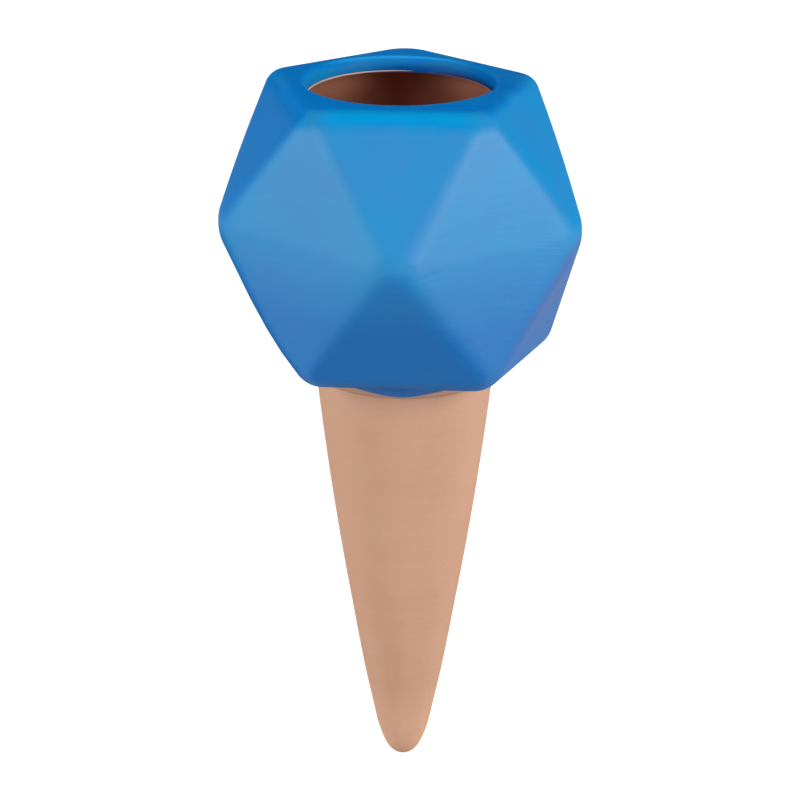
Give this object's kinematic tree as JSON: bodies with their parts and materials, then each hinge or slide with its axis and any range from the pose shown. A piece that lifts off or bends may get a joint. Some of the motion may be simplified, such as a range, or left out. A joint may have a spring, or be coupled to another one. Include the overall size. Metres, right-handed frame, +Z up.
{
  "type": "self watering spike",
  "caption": "Self watering spike: a faceted, blue-painted clay reservoir with a wide open mouth on a hollow, pointed, unglazed clay spike that seeps water into a pot's soil.",
  "frame": {"origin": "on the axis, at the plane of the head's flat underside, which is the soil line when the spike is pushed in", "axes": "+Z up along the axis through the mouth, -Y through one corner of the head's waist (the side seen in the picture), +X to the right of it"},
  "size_m": [0.08, 0.0768, 0.16],
  "materials": {
    "terracotta_head": "unglazed, fired, fine grained",
    "terracotta_spike": "unglazed, fired, smooth, porous",
    "clay_slip": "unglazed, fired",
    "blue_paint": "satin acrylic paint with faint brush lines"
  },
  "bodies": {
    "root": {"reservoir_head": "terracotta_head", "paint_coat": "blue_paint", "spike": "terracotta_spike", "luting_ring": "clay_slip"}
  },
  "joints": []
}
